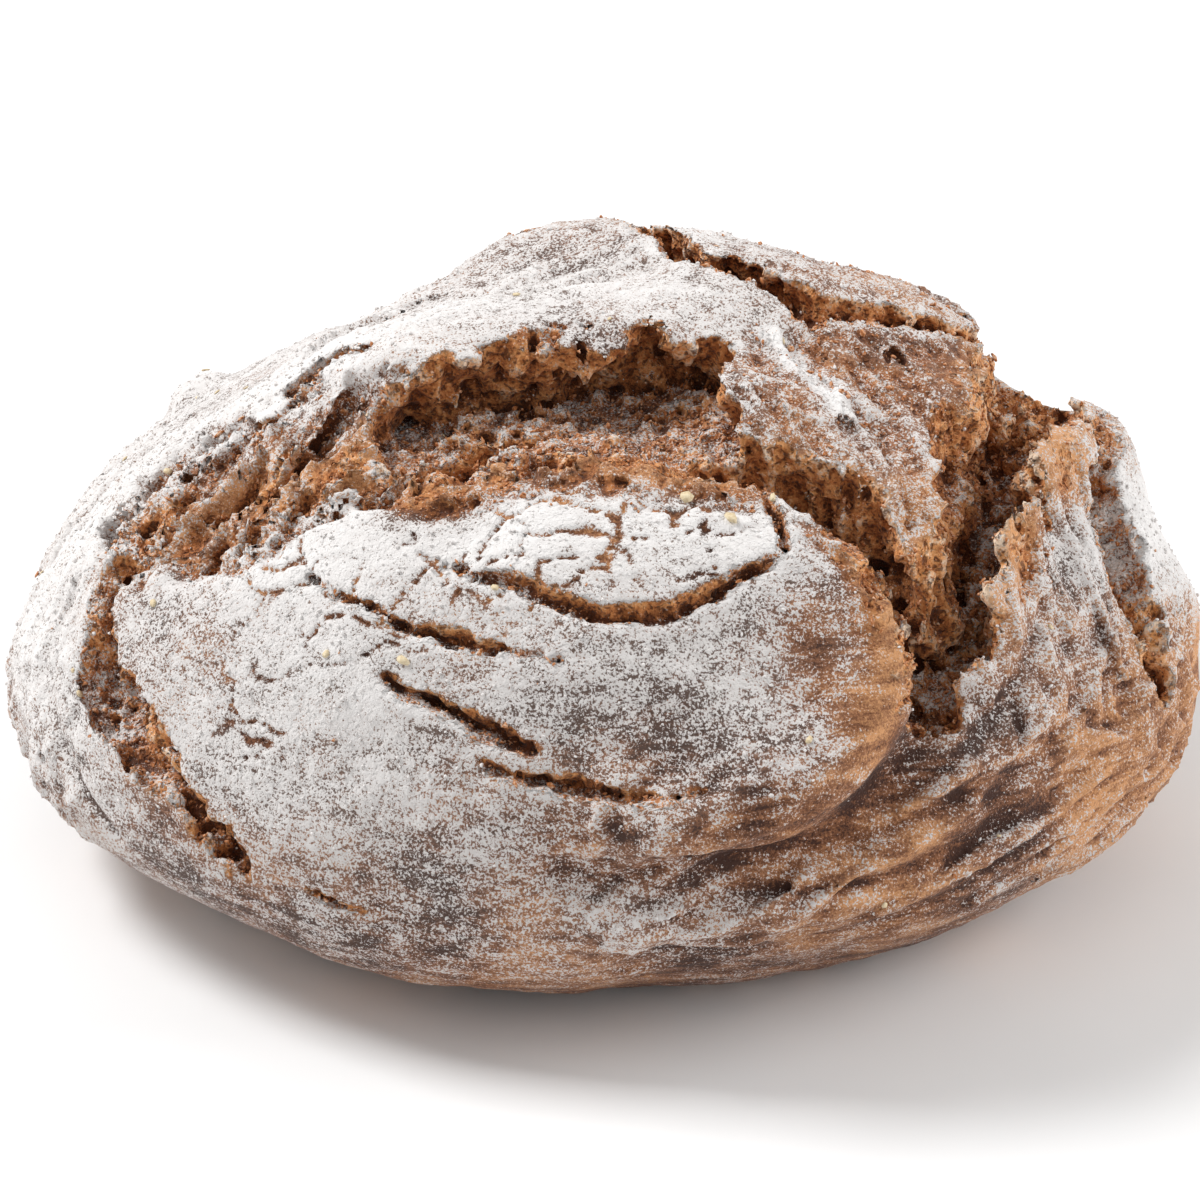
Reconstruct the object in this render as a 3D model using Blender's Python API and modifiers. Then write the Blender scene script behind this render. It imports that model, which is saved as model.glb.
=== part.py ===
"""A rustic rye loaf, 0.24 m across, as one closed solid.

The loaf is a round of dough that burst as it baked. It starts as a dome on a
rounded underside. Ridges lift the torn lips and lobes, and hollows let the
skin fall between them. The splits are wedges cut along curved routes, and the
three wide tears are pockets with a sloping floor. The base is flat, so that
the loaf stands still.

The loaf's middle is at x = y = 0, its front faces -Y and its base is at z = 0.
"""

import bmesh
import bpy
import numpy as np
from mathutils import Vector

NAME = "rye_loaf"
MM = 0.001  # every size and place below is in millimetres

# The plain loaf before it burst
HALF_WIDTH = 119.0
FRONT_REACH = 93.0
BACK_REACH = 116.0
BELLY_HEIGHT = 35.0  # the height at which the loaf is widest
RISE = 77.0  # from the belly to the top
SINK = 46.0  # from the belly to the underside, part of which the flat base cuts off
UNDERSIDE_POWER = 2.1  # 2 is an ellipse, more is fuller
TOP_POWER = 2.0

# Making the mesh
SPHERE_DETAIL = 6
CLEARANCE = 14.0  # how far the cutting shapes stand out of the crust
FOOT_SHARE = 0.4  # a split's width at its bottom, as a share of its width at the crust
REMESH_SIZE = 1.3
SMOOTHING = 1
LUMPS = ((32, 4.0), (12, 1.4))  # size and height of the crust's lumps
DECIMATE_RATIO = 0.046

CRUST_COLOUR = (0.52, 0.33, 0.20, 1.0)
CRUST_ROUGHNESS = 0.9

# Ridges (height above 0) and hollows (below 0): route over the crust, height, reach
RIDGES = {
    "front lobe": ([(-40, -62, 90), (-10, -66, 90), (22, -64, 90)], 2.0, 34),
    "front rim": ([(45, -54, 92), (52, -66, 81), (48, -80, 68), (34, -90, 60), (14, -94, 54)], 5.0, 10),
    "fold under the rim": ([(62, -72, 66), (50, -88, 52), (28, -98, 46)], -3.0, 9),
    "back slab": ([(-14, 44, 108), (8, 34, 112), (36, 24, 108), (58, 24, 100), (68, 26, 95)], 8.5, 19),
    "back lip": ([(24, 18, 112), (42, 16, 108), (60, 20, 102)], 3.0, 9),
    "top lip": ([(-42, -14, 105), (-28, -3, 110), (-6, -1, 112), (12, 2, 112), (22, 4, 110)], 5.0, 11),
    "fall behind the top": ([(-74, 28, 88), (-54, 44, 95), (-36, 52, 98)], -9.0, 22),
    "fall at the left": ([(-100, 14, 66), (-90, 38, 70), (-70, 58, 74)], -5.0, 24),
    "middle lip": ([(24, -28, 106), (40, -26, 103), (54, -38, 94), (66, -22, 95), (70, -4, 95)], 5.0, 12),
    "wall": ([(71, -52, 82), (74, -38, 87), (81, -22, 91), (89, -7, 88), (94, 8, 84)], 9.5, 8),
    "wall corner": ([(99, 10, 79), (99, 22, 75)], 12.0, 7),
    "wall's outer side": ([(99, 8, 78), (104, 2, 72), (108, -5, 66), (112, -12, 58)], 6.5, 10),
    "fall at the right": ([(114, 0, 62), (114, 30, 56)], -5.0, 12),
    "fall behind the gorge": ([(82, 50, 78), (94, 42, 70)], -8.0, 17),
    "end of the back slab": ([(82, 22, 93), (80, 34, 90)], -5.0, 8),
    "step behind the top": ([(-52, 84, 74), (-43, 80, 80), (-45, 62, 90)], -10.0, 13),
    "hollow of the foot": ([(8, -88, 4), (24, -92, 12), (42, -86, 6)], -4.0, 14),
    "right flank": ([(110, -30, 44), (113, 10, 44)], 2.5, 26),
    "front foot": ([(-30, -82, 12), (-8, -84, 10)], 1.5, 24),
    "left foot": ([(-100, -40, 30), (-84, -64, 24)], -1.0, 24),
}

# Splits: route over the crust, direction in, half widths and depths along the route
SPLITS = {
    "behind the rim": (
        [(18, -40, 106), (32, -40, 103), (44, -44, 96), (53, -54, 87), (58, -64, 80), (58, -72, 74)],
        (0.15, 0.35, -1), (3, 4.5, 6.5, 6.5, 4, 1), (8, 13, 15, 15, 10, 2)),
    "under the back slab": (
        [(-4, 50, 107), (10, 32, 112), (20, 16, 114), (39, 7, 112), (53, 9, 107), (65, 13, 102), (78, 18, 94)],
        (0, 0.7, -0.8), (1.2, 2, 4, 3.6, 2.6, 1.8, 1.2), (3, 6, 12, 11, 7, 5, 3)),
    "left": (
        [(-84, -24, 84), (-95, -34, 72), (-98, -43, 63), (-96, -51, 57), (-89, -61, 52), (-80, -71, 45), (-72, -79, 34)],
        (0.75, 0.45, -0.6), (2.5, 4.5, 5.5, 5, 4, 3.4, 1.5), (3, 6, 9, 10, 9, 7, 3)),
    "right": (
        [(93, 4, 84), (96, -7, 80), (101, -19, 74), (105, -29, 66), (109, -37, 50)],
        (-0.4, 0.8, -0.45), (1.5, 3.2, 4.2, 3.6, 1.6), (3, 8, 10, 9, 4)),
    "lobe crack": (
        [(30, -45, 102), (34, -53, 98), (32, -60, 93), (7, -72, 88), (-11, -68, 91), (-30, -61, 94)],
        (0, 0.5, -1), (1, 2, 1.8, 1.8, 1.8, 1), (2, 5, 4.5, 4.5, 4, 2)),
    "upper slit": (
        [(-54, -56, 87), (-37, -68, 84), (-28, -72, 84), (-8, -77, 82)],
        (0, 0.6, -0.8), (0.8, 1.9, 1.9, 0.8), (2, 4.5, 4.5, 2)),
    "middle slit": (
        [(-41, -74, 77), (-28, -81, 73), (-20, -84, 70), (-12, -87, 68)],
        (0, 0.8, -0.6), (0.8, 2.4, 2.4, 0.8), (2, 6, 5, 2)),
    "lower slit": (
        [(-22, -86, 65), (-12, -89, 62), (8, -91, 60), (20, -89, 61)],
        (0, 0.9, -0.45), (0.8, 2, 2, 0.8), (2, 5, 4.5, 2)),
    "long fissure": (
        [(-88, -26, 84), (-76, -22, 91), (-64, -12, 99), (-52, -10, 105)],
        (0, 0.4, -0.9), (0.8, 2, 1.8, 0.8), (2, 5, 5, 2)),
    "middle fissure": (
        [(-78, -38, 86), (-64, -32, 94), (-52, -22, 102), (-44, -18, 106)],
        (0, 0.4, -0.9), (0.8, 2.4, 2, 0.8), (2, 6, 5, 2)),
    "short fissure": (
        [(-62, -46, 90), (-52, -38, 97), (-42, -28, 104)],
        (0, 0.4, -0.9), (0.8, 2.2, 0.8), (2, 5, 2)),
    "hole at the left": (
        [(-62, -7, 103), (-53, -3, 106), (-45, -5, 107)],
        (0.2, 0.7, -0.7), (1.6, 3.8, 1.6), (4, 10, 4)),
    "back": (
        [(-62, 74, 68), (-40, 92, 62), (-12, 101, 58), (16, 102, 56)],
        (0.1, -1, -0.3), (0.8, 2.2, 2.2, 0.8), (2, 6, 6, 2)),
    "end of the valley": (
        [(-44, -40, 101), (-36, -36, 104), (-26, -32, 107), (-14, -27, 108)],
        (0, 0.3, -1), (1.5, 4, 5, 4), (5, 15, 16, 12)),
}

# Pockets: outline seen from above, the height it is drawn at, lean (run per mm of depth),
# a point on the floor, the floor's slopes along x and y
POCKETS = {
    "valley": (
        [(-42, -34), (-30, -45), (-8, -47), (9, -45), (23, -45), (27, -34), (26, -20),
         (22, -9), (12, -3), (0, -5), (-16, -8), (-30, -12), (-40, -20)],
        108, (0, 0.45), (-5, -20, 98), (0.06, -0.06)),
    "gorge": (
        [(52, -64), (56, -56), (64, -40), (68, -20), (73, 2), (77, 18), (76, 34), (84, 58), (100, 52),
         (98, 28), (96, 10), (89, -6), (82, -24), (76, -38), (75, -50), (72, -60), (62, -68)],
        88, (0.12, 0.10), (80, -20, 68), (0.10, 0.24)),
    "opening at the back": (
        [(-24, 50), (-20, 42), (-8, 42), (0, 46), (-2, 56), (-14, 60)],
        112, (0, 0.2), (-12, 50, 107.5), (0, -0.10)),
}


def clear_scene():
    for thing in list(bpy.data.objects):
        bpy.data.objects.remove(thing, do_unlink=True)


def new_collection(name):
    collection = bpy.data.collections.new(name)
    bpy.context.scene.collection.children.link(collection)
    return collection


def smooth_route(points, steps=4, closed=False):
    """A curve through the points (Catmull-Rom), as rows of an array."""
    p = np.asarray(points, float)
    if closed:
        p = np.vstack([p[-1:], p, p[:2]])
    else:
        p = np.vstack([2 * p[0] - p[1], p, 2 * p[-1] - p[-2]])
    rows = []
    for a, b, c, d in zip(p, p[1:], p[2:], p[3:]):
        for t in np.arange(steps) / steps:
            rows.append(b + 0.5 * t * (c - a + t * (2 * a - 5 * b + 4 * c - d + t * (3 * b - a - 3 * c + d))))
    if not closed:
        rows.append(p[-2])
    return np.array(rows)


def distance_to_route(points, route):
    """How far each point is from a polyline."""
    nearest = np.full(len(points), np.inf)
    for start, end in zip(route, route[1:]):
        along = end - start
        share = np.clip((points - start) @ along / (along @ along), 0, 1)
        nearest = np.minimum(nearest, np.linalg.norm(points - start - share[:, None] * along, axis=1))
    return nearest


def on_the_plain_loaf(directions):
    """Where rays from the middle of the belly leave the plain loaf."""
    x, y, z = directions.T
    reach = np.where(y < 0, FRONT_REACH, BACK_REACH)
    power = np.where(z < 0, UNDERSIDE_POWER, TOP_POWER)
    flat = np.hypot(x / HALF_WIDTH, y / reach)
    up = np.abs(z) / np.where(z < 0, SINK, RISE)
    size = (flat**power + up**power) ** (1 / power)
    return directions / size[:, None] + (0, 0, BELLY_HEIGHT)


def ridge_lift(points):
    """How far the ridges and hollows move the plain loaf's skin out."""
    lift = np.zeros(len(points))
    for route, height, reach in RIDGES.values():
        away = distance_to_route(points, smooth_route(route))
        lift += height * np.exp(-((away / reach) ** 2))
    return lift


def on_the_crust(points):
    """The points moved along their rays from the middle of the belly onto the crust."""
    rays = points - (0, 0, BELLY_HEIGHT)
    rays /= np.linalg.norm(rays, axis=1)[:, None]
    plain = on_the_plain_loaf(rays)
    return plain + rays * ridge_lift(plain)[:, None]


def make_loaf(collection):
    """The loaf's skin before it is cut."""
    bpy.ops.mesh.primitive_ico_sphere_add(subdivisions=SPHERE_DETAIL, radius=1)
    loaf = bpy.context.active_object
    for owner in loaf.users_collection:
        owner.objects.unlink(loaf)
    collection.objects.link(loaf)
    loaf.name = loaf.data.name = NAME

    vertices = loaf.data.vertices
    flat = np.empty(len(vertices) * 3)
    vertices.foreach_get("co", flat)
    points = on_the_plain_loaf(flat.reshape(-1, 3))
    vertices.foreach_set("co", points.ravel())
    loaf.data.update()
    vertices.foreach_get("normal", flat)
    points += flat.reshape(-1, 3) * ridge_lift(points)[:, None]
    vertices.foreach_set("co", (points * MM).ravel())
    loaf.data.update()
    return loaf


def add_cutter(name, rings, collection):
    """A closed solid lofted through rings that have the same number of points."""
    shape = bmesh.new()
    loops = [[shape.verts.new(Vector(point) * MM) for point in ring] for ring in rings]
    for lower, upper in zip(loops, loops[1:]):
        for i, vertex in enumerate(lower):
            j = (i + 1) % len(lower)
            shape.faces.new((vertex, lower[j], upper[j], upper[i]))
    shape.faces.new(loops[0])
    shape.faces.new(loops[-1])
    bmesh.ops.recalc_face_normals(shape, faces=shape.faces)
    bmesh.ops.triangulate(shape, faces=shape.faces)
    mesh = bpy.data.meshes.new(name)
    shape.to_mesh(mesh)
    shape.free()
    cutter = bpy.data.objects.new(name, mesh)
    cutter.hide_render = True
    cutter.display_type = "WIRE"
    collection.objects.link(cutter)
    return cutter


def add_split(name, route, inward, half_widths, depths, collection):
    """A wedge that follows the route and narrows towards its bottom."""
    inward = np.asarray(inward, float) / np.linalg.norm(inward)
    middle = on_the_crust(smooth_route(route))
    share = np.linspace(0, 1, len(middle))
    knots = np.linspace(0, 1, len(half_widths))
    wide = np.interp(share, knots, half_widths)
    deep = np.interp(share, knots, depths)
    tangents = np.gradient(middle, axis=0)
    rings = []
    for place, tangent, w, d in zip(middle, tangents, wide, deep):
        across = np.cross(tangent, inward)
        across = across / np.linalg.norm(across)
        profile = ((-CLEARANCE, 1.5 * w), (0, w), (d, FOOT_SHARE * w))
        side = [place + inward * down + across * half for down, half in profile]
        other = [place + inward * down - across * half for down, half in reversed(profile)]
        rings.append(side + other)
    return add_cutter("split " + name, rings, collection)


def add_pocket(name, outline, height, lean, floor_at, slope, collection):
    """A leaning prism with a sloping floor."""
    outline = smooth_route(outline, closed=True)
    lean = np.asarray(lean)
    floor = floor_at[2] + (outline - floor_at[:2]) @ slope
    top = np.column_stack([outline - lean * CLEARANCE, np.full(len(outline), height + CLEARANCE)])
    foot = np.column_stack([outline + lean * (height - floor)[:, None], floor])
    return add_cutter("pocket " + name, [foot, top], collection)


def add_ground(collection):
    """A block whose top is the flat base."""
    bpy.ops.mesh.primitive_cube_add(size=1, location=(0, 0, -0.5))
    block = bpy.context.active_object
    for owner in block.users_collection:
        owner.objects.unlink(block)
    collection.objects.link(block)
    block.name = "ground"
    block.hide_render = True
    block.display_type = "WIRE"
    return block


def cut(body, name, **operand):
    modifier = body.modifiers.new(name, "BOOLEAN")
    modifier.operation = "DIFFERENCE"
    modifier.solver = "EXACT"
    for key, value in operand.items():
        setattr(modifier, key, value)
    return modifier


def finish_mesh(loaf, cutters, ground):
    """Cuts the loaf, evens its faces out, thins them and cuts the flat base."""
    cut(loaf, "splits and pockets", operand_type="COLLECTION", collection=cutters, use_self=True)

    even = loaf.modifiers.new("even faces", "REMESH")
    even.mode = "VOXEL"
    even.voxel_size = REMESH_SIZE * MM

    soft = loaf.modifiers.new("worn edges", "SMOOTH")
    soft.factor = 0.5
    soft.iterations = SMOOTHING

    for size, height in LUMPS:
        lumps = loaf.modifiers.new("lumps", "DISPLACE")
        lumps.texture = bpy.data.textures.new(f"lumps {size} mm", "CLOUDS")
        lumps.texture.noise_scale = size * MM
        lumps.strength = height * MM
        lumps.mid_level = 0.5

    fewer = loaf.modifiers.new("fewer faces", "DECIMATE")
    fewer.ratio = DECIMATE_RATIO

    cut(loaf, "flat base", object=ground)

    bpy.context.view_layer.objects.active = loaf
    for modifier in list(loaf.modifiers):
        bpy.ops.object.modifier_apply(modifier=modifier.name)


def centre(loaf):
    """Moves the mesh so that its box stands in the middle of the base plane."""
    corners = np.array([corner[:] for corner in loaf.bound_box])
    low, high = corners.min(axis=0), corners.max(axis=0)
    middle = (low + high) / 2
    for vertex in loaf.data.vertices:
        vertex.co -= Vector((middle[0], middle[1], low[2]))


def bread_material():
    crust = bpy.data.materials.new("crust")
    crust.use_nodes = True
    surface = crust.node_tree.nodes["Principled BSDF"]
    surface.inputs["Base Color"].default_value = CRUST_COLOUR
    surface.inputs["Roughness"].default_value = CRUST_ROUGHNESS
    crust.diffuse_color = CRUST_COLOUR
    crust.roughness = CRUST_ROUGHNESS
    return crust


def main():
    clear_scene()
    parts = new_collection("rye bread loaf")
    cutters = new_collection("cutting shapes")
    base = new_collection("ground")

    loaf = make_loaf(parts)
    for name, split in SPLITS.items():
        add_split(name, *split, cutters)
    for name, pocket in POCKETS.items():
        add_pocket(name, *pocket, cutters)
    finish_mesh(loaf, cutters, add_ground(base))
    centre(loaf)
    loaf.data.materials.append(bread_material())
    loaf.data.shade_smooth()


main()
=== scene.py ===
"""A rustic rye loaf, dusted with flour, that burst open as it baked.

The loaf is modelled as a distance field in millimetres: a dome with ridges and
hollows, cut by splits that follow curved routes and by pockets with a sloping
floor. The same sizes make the CAD solid. Here the tears also get their crumb,
strands and jagged lips, and the crust its wrinkles and flour cracks. The field
is turned into one mesh, which carries what its material needs as attributes:
how torn, how deep, how floury, how dark and how hollow each place is. The
material paints shade into the hollows and deep in the tears, and partly paints
light into the flour on upward and left faces. Grains of flour, crumbs and bran
flakes lie on it as real mesh.
"""

import math

import bpy
import numpy as np
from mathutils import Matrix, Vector


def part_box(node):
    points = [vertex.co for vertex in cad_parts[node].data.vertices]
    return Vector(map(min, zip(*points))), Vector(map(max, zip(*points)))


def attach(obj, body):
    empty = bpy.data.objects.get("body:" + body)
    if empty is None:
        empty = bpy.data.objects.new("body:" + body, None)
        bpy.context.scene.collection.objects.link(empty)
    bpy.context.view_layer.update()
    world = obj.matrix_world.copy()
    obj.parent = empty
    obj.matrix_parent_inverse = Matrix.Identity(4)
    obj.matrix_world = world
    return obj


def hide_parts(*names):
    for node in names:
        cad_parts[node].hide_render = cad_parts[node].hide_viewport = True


MM = 0.001

# The plain loaf before it burst (mm). x runs along its width and y towards the back.
HALF_WIDTH = 119.0
FRONT_REACH = 93.0
BACK_REACH = 116.0
BELLY_HEIGHT = 35.0
RISE = 77.0
SINK = 46.0
UNDERSIDE_POWER = 2.1

VOXEL = 1.0  # mesh size of the field
COARSE = 4  # coarse cells are this many voxels wide
GRID_LOW = (-128.0, -104.0, -4.4)
GRID_HIGH = (128.0, 126.0, 126.0)
SKIN_BAND = 30.0  # ridges and lumps matter only this near the skin

# Ridges (height above 0) and hollows (below 0): route over the crust, height, reach
RIDGES = {
    "front lobe": ([(-40, -62, 90), (-10, -66, 90), (22, -64, 90)], 2.0, 34),
    "front rim": ([(45, -54, 92), (52, -66, 81), (48, -80, 68), (34, -90, 60), (14, -94, 54)], 5.0, 10),
    "fold under the rim": ([(62, -72, 66), (50, -88, 52), (28, -98, 46)], -3.0, 9),
    "back slab": ([(-14, 44, 108), (8, 34, 112), (36, 24, 108), (58, 24, 100), (68, 26, 95)], 8.5, 19),
    "back lip": ([(24, 18, 112), (42, 16, 108), (60, 20, 102)], 3.0, 9),
    "top lip": ([(-42, -14, 105), (-28, -3, 110), (-6, -1, 112), (12, 2, 112), (22, 4, 110)], 5.0, 11),
    "fall behind the top": ([(-74, 28, 88), (-54, 44, 95), (-36, 52, 98)], -9.0, 22),
    "fall at the left": ([(-100, 14, 66), (-90, 38, 70), (-70, 58, 74)], -5.0, 24),
    "middle lip": ([(24, -28, 106), (40, -26, 103), (54, -38, 94), (66, -22, 95), (70, -4, 95)], 5.0, 12),
    "wall": ([(71, -52, 82), (74, -38, 87), (81, -22, 91), (89, -7, 88), (94, 8, 84)], 9.5, 8),
    "wall corner": ([(99, 10, 79), (99, 22, 75)], 12.0, 7),
    "wall's outer side": ([(99, 8, 78), (104, 2, 72), (108, -5, 66), (112, -12, 58)], 6.5, 10),
    "fall at the right": ([(114, 0, 62), (114, 30, 56)], -5.0, 12),
    "fall behind the gorge": ([(82, 50, 78), (94, 42, 70)], -8.0, 17),
    "end of the back slab": ([(82, 22, 93), (80, 34, 90)], -5.0, 8),
    "step behind the top": ([(-52, 84, 74), (-43, 80, 80), (-45, 62, 90)], -10.0, 13),
    "hollow of the foot": ([(8, -88, 4), (24, -92, 12), (42, -86, 6)], -4.0, 14),
    "right flank": ([(110, -30, 44), (113, 10, 44)], 2.5, 26),
    "front foot": ([(-30, -82, 12), (-8, -84, 10)], 1.5, 24),
    "left foot": ([(-100, -40, 30), (-84, -64, 24)], -1.0, 24),
}

# Creases of the crust (below 0) and their swollen edges (above 0), like the ridges
CREASES = {
    "fold under the rim": ([(62, -62, 74), (62, -74, 62), (52, -86, 53), (36, -94, 47), (14, -97, 44), (-6, -95, 44)], -4.5, 4.2),
    "swelling above the fold": ([(56, -74, 74), (46, -86, 64), (26, -93, 58), (4, -93, 58)], 2.2, 8),
    "swelling below the fold": ([(70, -76, 56), (56, -88, 42), (30, -96, 34), (6, -97, 34)], 2.5, 7),
    "upper wrinkle": ([(10, -96, 49), (32, -94, 48), (52, -87, 47), (70, -77, 51)], -3.0, 1.9),
    "edge of the upper wrinkle": ([(14, -95, 54), (34, -94, 53), (54, -86, 52), (70, -76, 56)], 1.2, 4),
    "lower wrinkle": ([(20, -96, 40), (44, -89, 38), (62, -82, 39), (80, -71, 43)], -2.6, 1.8),
    "edge of the lower wrinkle": ([(24, -96, 35), (44, -90, 33), (62, -83, 34), (82, -70, 38)], 1.2, 4),
    "wrinkle to the wall": ([(56, -84, 52), (70, -76, 58), (80, -62, 66), (86, -46, 76)], -2.6, 2.0),
    "second wrinkle to the wall": ([(76, -72, 48), (90, -58, 56), (98, -40, 68)], -2.2, 2.0),
    "low wrinkle": ([(0, -96, 26), (30, -94, 24), (60, -84, 26), (88, -64, 32)], -1.2, 2.4),
    "fold of the foot": ([(6, -94, 20), (16, -95, 34), (22, -95, 46)], -2.0, 4),
    "crack at the left": ([(-108, -30, 52), (-104, -46, 40), (-96, -58, 30)], -1.6, 1.5),
    "second crack at the left": ([(-112, -10, 56), (-111, -24, 46), (-107, -36, 36)], -1.3, 1.4),
    "crack of the shoulder": ([(-96, -12, 78), (-84, -2, 90), (-70, -2, 98)], -2.0, 1.6),
    "second crack of the shoulder": ([(-102, 2, 74), (-90, 12, 86), (-76, 16, 94)], -1.4, 1.6),
    "first peak of the wall": ([(74, -46, 92), (76, -41, 92)], 5.0, 4.0),
    "second peak of the wall": ([(90, -9, 88), (92, -5, 88)], 5.0, 4.5),
    "notch of the wall": ([(95, 2, 84), (97, 4, 82)], -6.0, 3.5),
    "hanging lip": ([(-34, -12, 106), (-28, -15, 106)], 3.5, 5),
    "second hanging lip": ([(-16, -9, 109), (-10, -11, 109)], 3.5, 5),
    "third hanging lip": ([(4, -6, 111), (10, -7, 111)], 3.0, 5),
    "chip": ([(-86, 56, 66), (-81, 58, 68)], 8.0, 3.0),
}

# Splits: route over the crust, direction in, half widths and depths along the route,
# how far the lips curl up on the left and right of the route, how jagged they are
SPLITS = {
    "behind the rim": (
        [(18, -40, 106), (32, -40, 103), (44, -44, 96), (53, -54, 87), (58, -64, 80), (58, -72, 74)],
        (0.15, 0.35, -1), (3, 4.5, 6.5, 6.5, 4, 1), (8, 13, 15, 15, 10, 2), (0, 0), 1.5),
    "under the back slab": (
        [(-4, 50, 107), (10, 32, 112), (20, 16, 114), (39, 7, 112), (53, 9, 107), (65, 13, 102), (78, 18, 94)],
        (0, 0.7, -0.8), (1.2, 2, 4, 3.6, 2.6, 1.8, 1.2), (3, 6, 12, 11, 7, 5, 3), (1.5, 0), 1.3),
    "left": (
        [(-84, -24, 84), (-95, -34, 72), (-98, -43, 63), (-96, -51, 57), (-89, -61, 52), (-80, -71, 45), (-72, -79, 34)],
        (0.75, 0.45, -0.6), (2.5, 4.5, 6, 6, 5.4, 4.4, 1.8), (3, 6, 9, 10, 9, 7, 3), (1.2, 0.5), 2.6),
    "right": (
        [(93, 4, 84), (96, -7, 80), (101, -19, 74), (105, -29, 66), (109, -37, 50)],
        (-0.4, 0.8, -0.45), (1.5, 3.2, 4.2, 3.6, 1.6), (3, 8, 10, 9, 4), (0, 3.0), 1.6),
    "lobe crack": (
        [(30, -45, 102), (34, -53, 98), (32, -60, 93), (7, -72, 88), (-11, -68, 91), (-30, -61, 94)],
        (0, 0.5, -1), (0.6, 1.0, 1.0, 1.1, 1.4, 0.5), (2, 4, 3.5, 3.5, 3.5, 1.5), (0.8, 0.3), 0.9),
    "upper slit": (
        [(-54, -56, 87), (-37, -68, 84), (-28, -72, 84), (-8, -77, 82)],
        (0, 0.6, -0.8), (0.5, 1.5, 1.4, 0.4), (1.5, 4, 4, 1.5), (0.5, 0), 0.9),
    "middle slit": (
        [(-41, -74, 77), (-28, -81, 73), (-20, -84, 70), (-12, -87, 68)],
        (0, 0.8, -0.6), (0.6, 2.3, 2.0, 0.6), (2, 6, 5.5, 2), (1.2, 0), 1.0),
    "lower slit": (
        [(-22, -86, 65), (-12, -89, 62), (8, -91, 60), (20, -89, 61)],
        (0, 0.9, -0.45), (0.5, 1.6, 1.5, 0.5), (2, 5.5, 4.5, 2), (1.3, 0), 0.8),
    "small front slit": (
        [(-58, -83, 36), (-52, -87, 33), (-44, -88, 32)],
        (0.2, 0.9, -0.2), (0.3, 1.1, 0.3), (1, 3, 1), (0.4, 0), 0.5),
    "slit by the gorge": (
        [(55, -76, 71), (61, -73, 71), (67, -69, 70)],
        (-0.2, 0.9, -0.3), (0.4, 1.3, 0.4), (1, 3.5, 1), (0.5, 0), 0.5),
    "long fissure": (
        [(-88, -26, 84), (-76, -22, 91), (-64, -12, 99), (-52, -10, 105)],
        (0, 0.4, -0.9), (0.8, 2, 1.8, 0.8), (2, 5, 5, 2), (0, 0), 3.0),
    "middle fissure": (
        [(-78, -38, 86), (-64, -32, 94), (-52, -22, 102), (-44, -18, 106)],
        (0, 0.4, -0.9), (0.8, 2.4, 2, 0.8), (2, 6, 5, 2), (0, 0), 3.0),
    "short fissure": (
        [(-62, -46, 90), (-52, -38, 97), (-42, -28, 104)],
        (0, 0.4, -0.9), (0.8, 2.2, 0.8), (2, 5, 2), (0, 0), 3.0),
    "hole at the left": (
        [(-62, -7, 103), (-53, -3, 106), (-45, -5, 107)],
        (0.2, 0.7, -0.7), (1.6, 3.8, 1.6), (4, 10, 4), (1.6, 0), 1.4),
    "back": (
        [(-62, 74, 68), (-40, 92, 62), (-12, 101, 58), (16, 102, 56)],
        (0.1, -1, -0.3), (0.6, 2.0, 1.8, 0.4), (2, 6, 6, 2), (1.4, 0), 3.5),
    "end of the valley": (
        [(-44, -40, 101), (-36, -36, 104), (-26, -32, 107), (-14, -27, 108)],
        (0, 0.3, -1), (1.5, 4, 5, 4), (5, 15, 16, 12), (0, 0.5), 1.5),
}
LIP_REACH = 7.0

# Pockets: outline seen from above, the height it is drawn at, lean (run per mm of depth),
# a point on the floor, the floor's slopes along x and y, how jagged the outline is
POCKETS = {
    "valley": (
        [(-42, -34), (-30, -45), (-8, -47), (9, -45), (23, -45), (27, -34), (26, -20),
         (22, -9), (12, -3), (0, -5), (-16, -8), (-30, -12), (-40, -20)],
        108, (0, 0.45), (-5, -20, 98), (0.06, -0.06), 6.0),
    "gorge": (
        [(52, -64), (56, -56), (64, -40), (68, -20), (73, 2), (77, 18), (76, 34), (84, 58), (100, 52),
         (98, 28), (96, 10), (89, -6), (82, -24), (76, -38), (75, -50), (72, -60), (62, -68)],
        88, (0.12, 0.10), (80, -20, 68), (0.10, 0.24), 4.5),
    "opening at the back": (
        [(-24, 50), (-20, 42), (-8, 42), (0, 46), (-2, 56), (-14, 60)],
        112, (0, 0.2), (-12, 50, 107.5), (0, -0.10), 2.5),
}

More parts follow.
